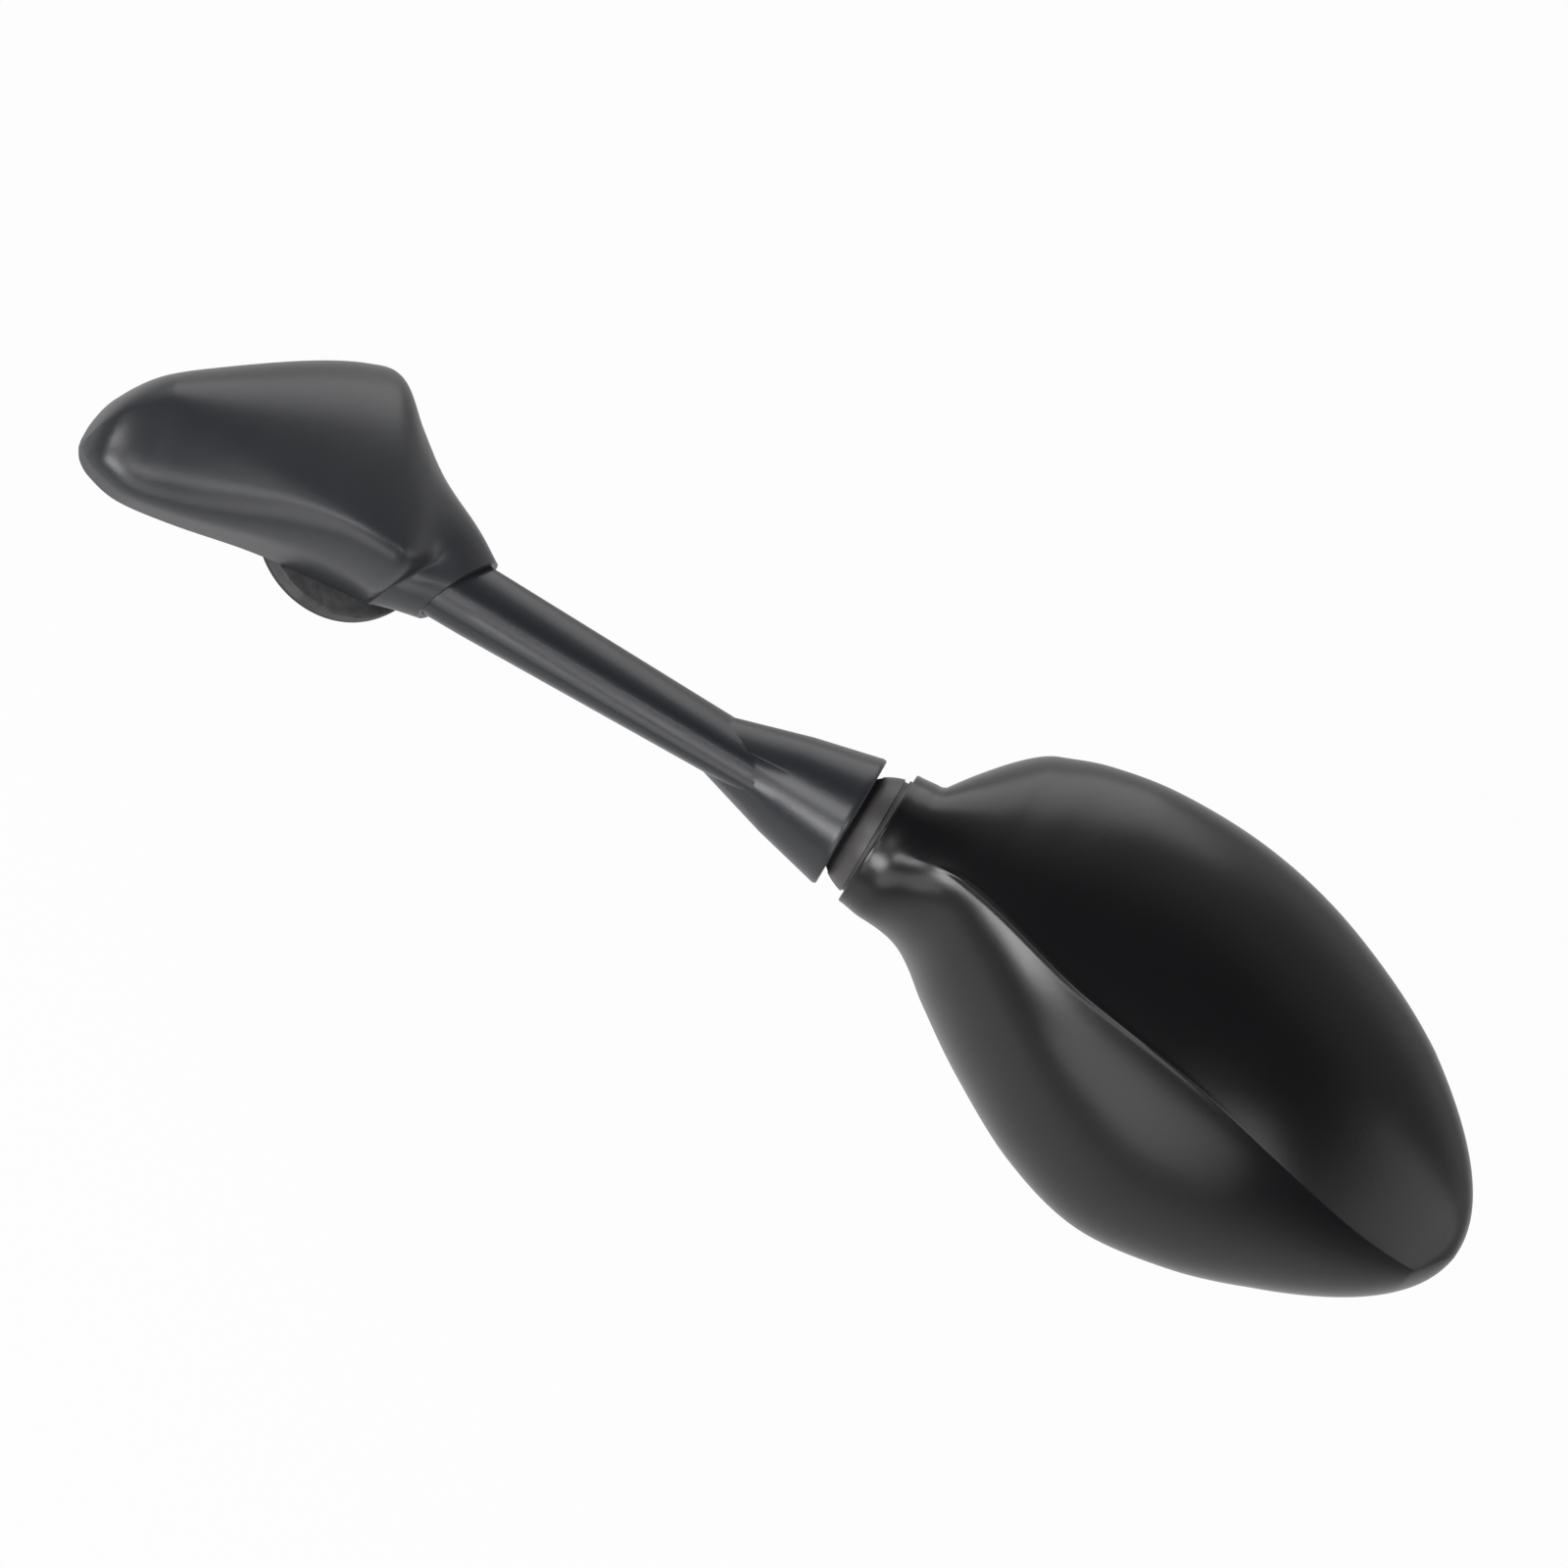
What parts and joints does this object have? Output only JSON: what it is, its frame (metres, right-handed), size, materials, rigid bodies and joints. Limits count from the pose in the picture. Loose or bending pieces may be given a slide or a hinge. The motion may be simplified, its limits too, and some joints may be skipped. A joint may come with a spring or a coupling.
{
  "type": "motorcycle mirror",
  "caption": "Fairing mirror: round foot, folding arm under a moulded boot, and a teardrop mirror head on a spring-loaded ball joint.",
  "frame": {"origin": "centre of the round foot's mounting face, on the fold axis", "axes": "+Z out of the fairing along the fold axis, +X the direction in which the arm points in plan, +Y to its left seen from outside"},
  "size_m": [0.3405, 0.0872, 0.0793],
  "materials": {
    "foot_pad": "matt black rubber",
    "mounting_foot": "die-cast alloy, matt black coating",
    "pivot_bolt": "zinc-plated steel",
    "thrust_washer": "rolled brass",
    "spring_washer": "plain steel washer",
    "disc_springs": "oiled spring steel",
    "pivot_nut": "zinc-plated steel",
    "arm": "die-cast alloy, satin black coating",
    "knuckle_bush": "natural acetal",
    "base_boot": "moulded satin black elastomer",
    "ball_stud": "turned steel",
    "joint_shield": "black acetal",
    "ball_liner": "natural nylon",
    "housing": "injection-moulded black, satin gloss",
    "seat_ring": "glass-filled nylon",
    "pressure_cup": "glass-filled nylon",
    "cup_spring": "spring wire",
    "spring_plate": "zinc-plated sheet",
    "plate_screws": "zinc-plated steel",
    "glass_carrier": "black moulded plate",
    "carrier_screws": "zinc-plated steel",
    "foam_pad": "adhesive foam",
    "mirror_glass": "silvered glass",
    "glass_gasket": "black rubber"
  },
  "bodies": {
    "foot": {"foot_pad": "foot_pad", "mounting_foot": "mounting_foot", "pivot_bolt": "pivot_bolt", "thrust_washer": "thrust_washer", "disc_springs": "disc_springs", "spring_washer": "spring_washer", "pivot_nut": "pivot_nut"},
    "folding_arm": {"arm": "arm", "knuckle_bush": "knuckle_bush", "base_boot": "base_boot", "ball_stud": "ball_stud"},
    "shield": {"joint_shield": "joint_shield"},
    "liner": {"ball_liner": "ball_liner"},
    "head": {"housing": "housing", "seat_ring": "seat_ring", "pressure_cup": "pressure_cup", "cup_spring": "cup_spring", "spring_plate": "spring_plate", "plate_screws": "plate_screws", "glass_carrier": "glass_carrier", "carrier_screws": "carrier_screws", "foam_pad": "foam_pad", "mirror_glass": "mirror_glass", "glass_gasket": "glass_gasket"}
  },
  "joints": [
    {"name": "arm_fold", "type": "hinge", "parent": "foot", "child": "folding_arm", "pos_m": [0, 0, 0], "axis": [0, 0, 1], "range_deg": [-60, 60]},
    {"name": "head_roll", "type": "hinge", "parent": "folding_arm", "child": "shield", "pos_m": [0.12813, -0.005, 0.04418], "axis": [0.9744, 0, 0.225], "range_deg": [-30, 30]},
    {"name": "head_pan", "type": "hinge", "parent": "shield", "child": "liner", "pos_m": [0.12813, -0.005, 0.04418], "axis": [-0.2039, -0.4226, 0.8831], "range_deg": [-10, 10]},
    {"name": "head_tilt", "type": "hinge", "parent": "liner", "child": "head", "pos_m": [0.12813, -0.005, 0.04418], "axis": [-0.0269, 0.9041, 0.4265], "range_deg": [-10, 10]}
  ]
}
